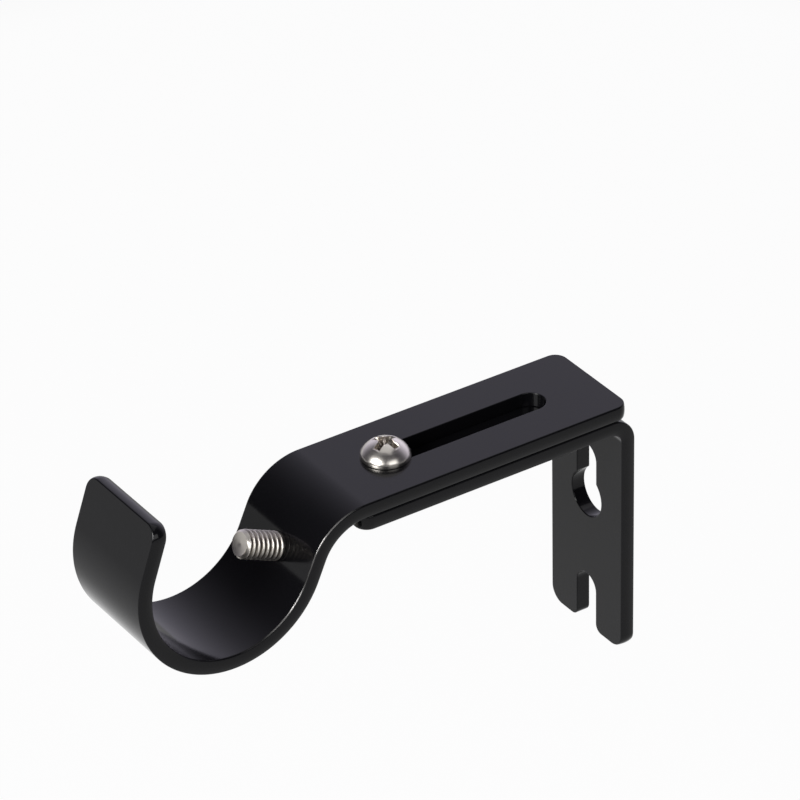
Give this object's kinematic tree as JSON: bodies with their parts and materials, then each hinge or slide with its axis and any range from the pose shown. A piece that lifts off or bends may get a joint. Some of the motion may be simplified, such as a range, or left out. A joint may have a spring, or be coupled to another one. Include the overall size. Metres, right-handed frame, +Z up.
{
  "type": "curtain pole bracket",
  "caption": "Adjustable wall bracket for a curtain pole: a folded wall plate with keyhole and notch, a slotted hook arm with a round cup, a clamp screw and a pole set screw.",
  "frame": {"origin": "on the wall face, in the middle of the strip's width, midway between the seats of the upper and lower fixing screws", "axes": "+X along the pole, +Y into the wall (the bracket reaches out towards -Y), +Z up"},
  "size_m": [0.02, 0.0949, 0.0584],
  "materials": {
    "black_paint": "satin-gloss black stoved paint on steel strip",
    "bright_screw": "bright nickel-plated steel"
  },
  "bodies": {
    "wall_plate": {"wall_plate": "black_paint"},
    "hook_arm": {"hook_arm": "black_paint"},
    "clamp_screw": {"clamp_screw": "bright_screw"},
    "set_screw": {"set_screw": "bright_screw"}
  },
  "joints": [
    {"name": "arm_slide", "type": "slide", "parent": "wall_plate", "child": "hook_arm", "axis": [0, -1, 0], "range_m": [0, 0.0283]},
    {"name": "clamp_screw_travel", "type": "slide", "parent": "wall_plate", "child": "clamp_screw", "axis": [0, 0, 1], "range_m": [0, 0.0048]},
    {"name": "set_screw_travel", "type": "slide", "parent": "hook_arm", "child": "set_screw", "axis": [0, 0.9143, -0.4051], "range_m": [0, 0.0072]}
  ]
}
